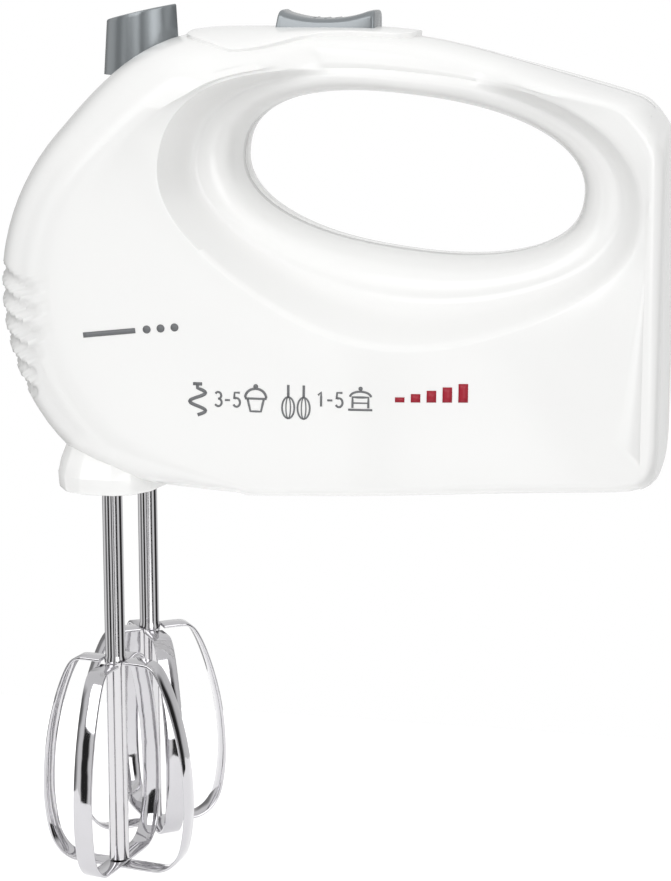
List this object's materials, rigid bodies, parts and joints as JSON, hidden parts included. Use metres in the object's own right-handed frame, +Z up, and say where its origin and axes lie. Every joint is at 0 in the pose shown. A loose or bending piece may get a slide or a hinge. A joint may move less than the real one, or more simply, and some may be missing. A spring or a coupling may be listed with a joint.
{
  "type": "hand mixer",
  "caption": "Hand-held kitchen mixer with an oval handle opening, worm-driven twin strip beaters, eject button and sliding speed switch.",
  "frame": {"origin": "on the flat heel face, in the middle of its width, 3.5 mm above the middle of its height", "axes": "+X out of the heel face (rearward), so the nose points along -X; +Z up with the beaters pointing down; y = 0 is the split between the two shells"},
  "size_m": [0.193, 0.0799, 0.2576],
  "materials": {
    "white_plastic": "glossy moulded white plastic",
    "grey_plastic": "satin silver-grey plastic",
    "chrome": "polished chrome plating",
    "steel": "machined steel",
    "laminations": "stacked steel laminations",
    "copper": "enamelled copper",
    "brass": "plain brass",
    "nylon": "natural nylon",
    "inner_plastic": "unpolished grey plastic",
    "black_plastic": "satin black plastic",
    "carbon": "dull pressed carbon",
    "board": "green circuit board"
  },
  "bodies": {
    "housing": {"left_housing": "white_plastic", "right_housing": "white_plastic", "handle_cover": "white_plastic", "heel_cover": "white_plastic", "socket_housing": "white_plastic", "housing_screws": "steel", "gearbox_base": "inner_plastic", "gearbox_cover": "inner_plastic", "gearbox_screws": "steel", "spindle_bushes": "brass", "stator_core": "laminations", "field_coils": "copper", "front_bracket": "inner_plastic", "rear_bracket": "inner_plastic", "front_bearing": "steel", "rear_bearing": "steel", "brush_holders": "brass", "carbon_brushes": "carbon", "brush_springs": "steel", "ejector_guide": "inner_plastic", "eject_spring": "steel", "switch_block": "black_plastic", "circuit_board": "board", "suppression_capacitor": "black_plastic", "cord_gland": "black_plastic", "cord_clamp": "inner_plastic", "clamp_screws": "steel"},
    "armature": {"motor_shaft": "steel", "worm": "steel", "armature_core": "laminations", "armature_winding": "copper", "commutator": "copper", "cooling_fan": "black_plastic"},
    "left_spindle": {"left_worm_wheel": "nylon", "left_spindle": "steel", "left_spindle_clip": "steel"},
    "right_spindle": {"right_worm_wheel": "nylon", "right_spindle": "steel", "right_spindle_clip": "steel"},
    "left_beater": {"left_beater_shaft": "chrome", "left_beater_loop_a": "chrome", "left_beater_loop_b": "chrome", "left_beater_rivet": "chrome"},
    "right_beater": {"right_beater_shaft": "chrome", "right_beater_loop_a": "chrome", "right_beater_loop_b": "chrome", "right_beater_rivet": "chrome"},
    "ejector": {"eject_button": "grey_plastic", "ejector_fork": "nylon"},
    "speed_control": {"speed_slider": "grey_plastic", "slider_carriage": "black_plastic"}
  },
  "joints": [
    {"name": "left_spindle_spin", "type": "hinge", "parent": "housing", "child": "left_spindle", "pos_m": [-0.159, -0.018, -0.034], "axis": [0, 0, 1], "continuous": true},
    {"name": "right_spindle_spin", "type": "hinge", "parent": "housing", "child": "right_spindle", "pos_m": [-0.159, 0.018, -0.034], "axis": [0, 0, 1], "continuous": true},
    {"name": "motor_spin", "type": "hinge", "parent": "housing", "child": "armature", "pos_m": [-0.1, 0, -0.034], "axis": [1, 0, 0], "continuous": true},
    {"name": "eject_press", "type": "slide", "parent": "housing", "child": "ejector", "axis": [0, 0, -1], "range_m": [0, 0.008], "stiffness_N_per_m": 400, "springref_m": -0.005, "deforming": ["eject_spring"]},
    {"name": "left_beater_eject", "type": "slide", "parent": "left_spindle", "child": "left_beater", "axis": [0, 0, -1], "range_m": [0, 0.008]},
    {"name": "right_beater_eject", "type": "slide", "parent": "right_spindle", "child": "right_beater", "axis": [0, 0, -1], "range_m": [0, 0.008]},
    {"name": "speed_slide", "type": "slide", "parent": "housing", "child": "speed_control", "axis": [-1, 0, 0], "range_m": [0, 0.018]}
  ],
  "couplings": [
    {"joint": "right_spindle_spin", "follows": "left_spindle_spin", "ratio": -1},
    {"joint": "motor_spin", "follows": "left_spindle_spin", "ratio": 24},
    {"joint": "left_beater_eject", "follows": "eject_press", "ratio": 1},
    {"joint": "right_beater_eject", "follows": "eject_press", "ratio": 1}
  ]
}
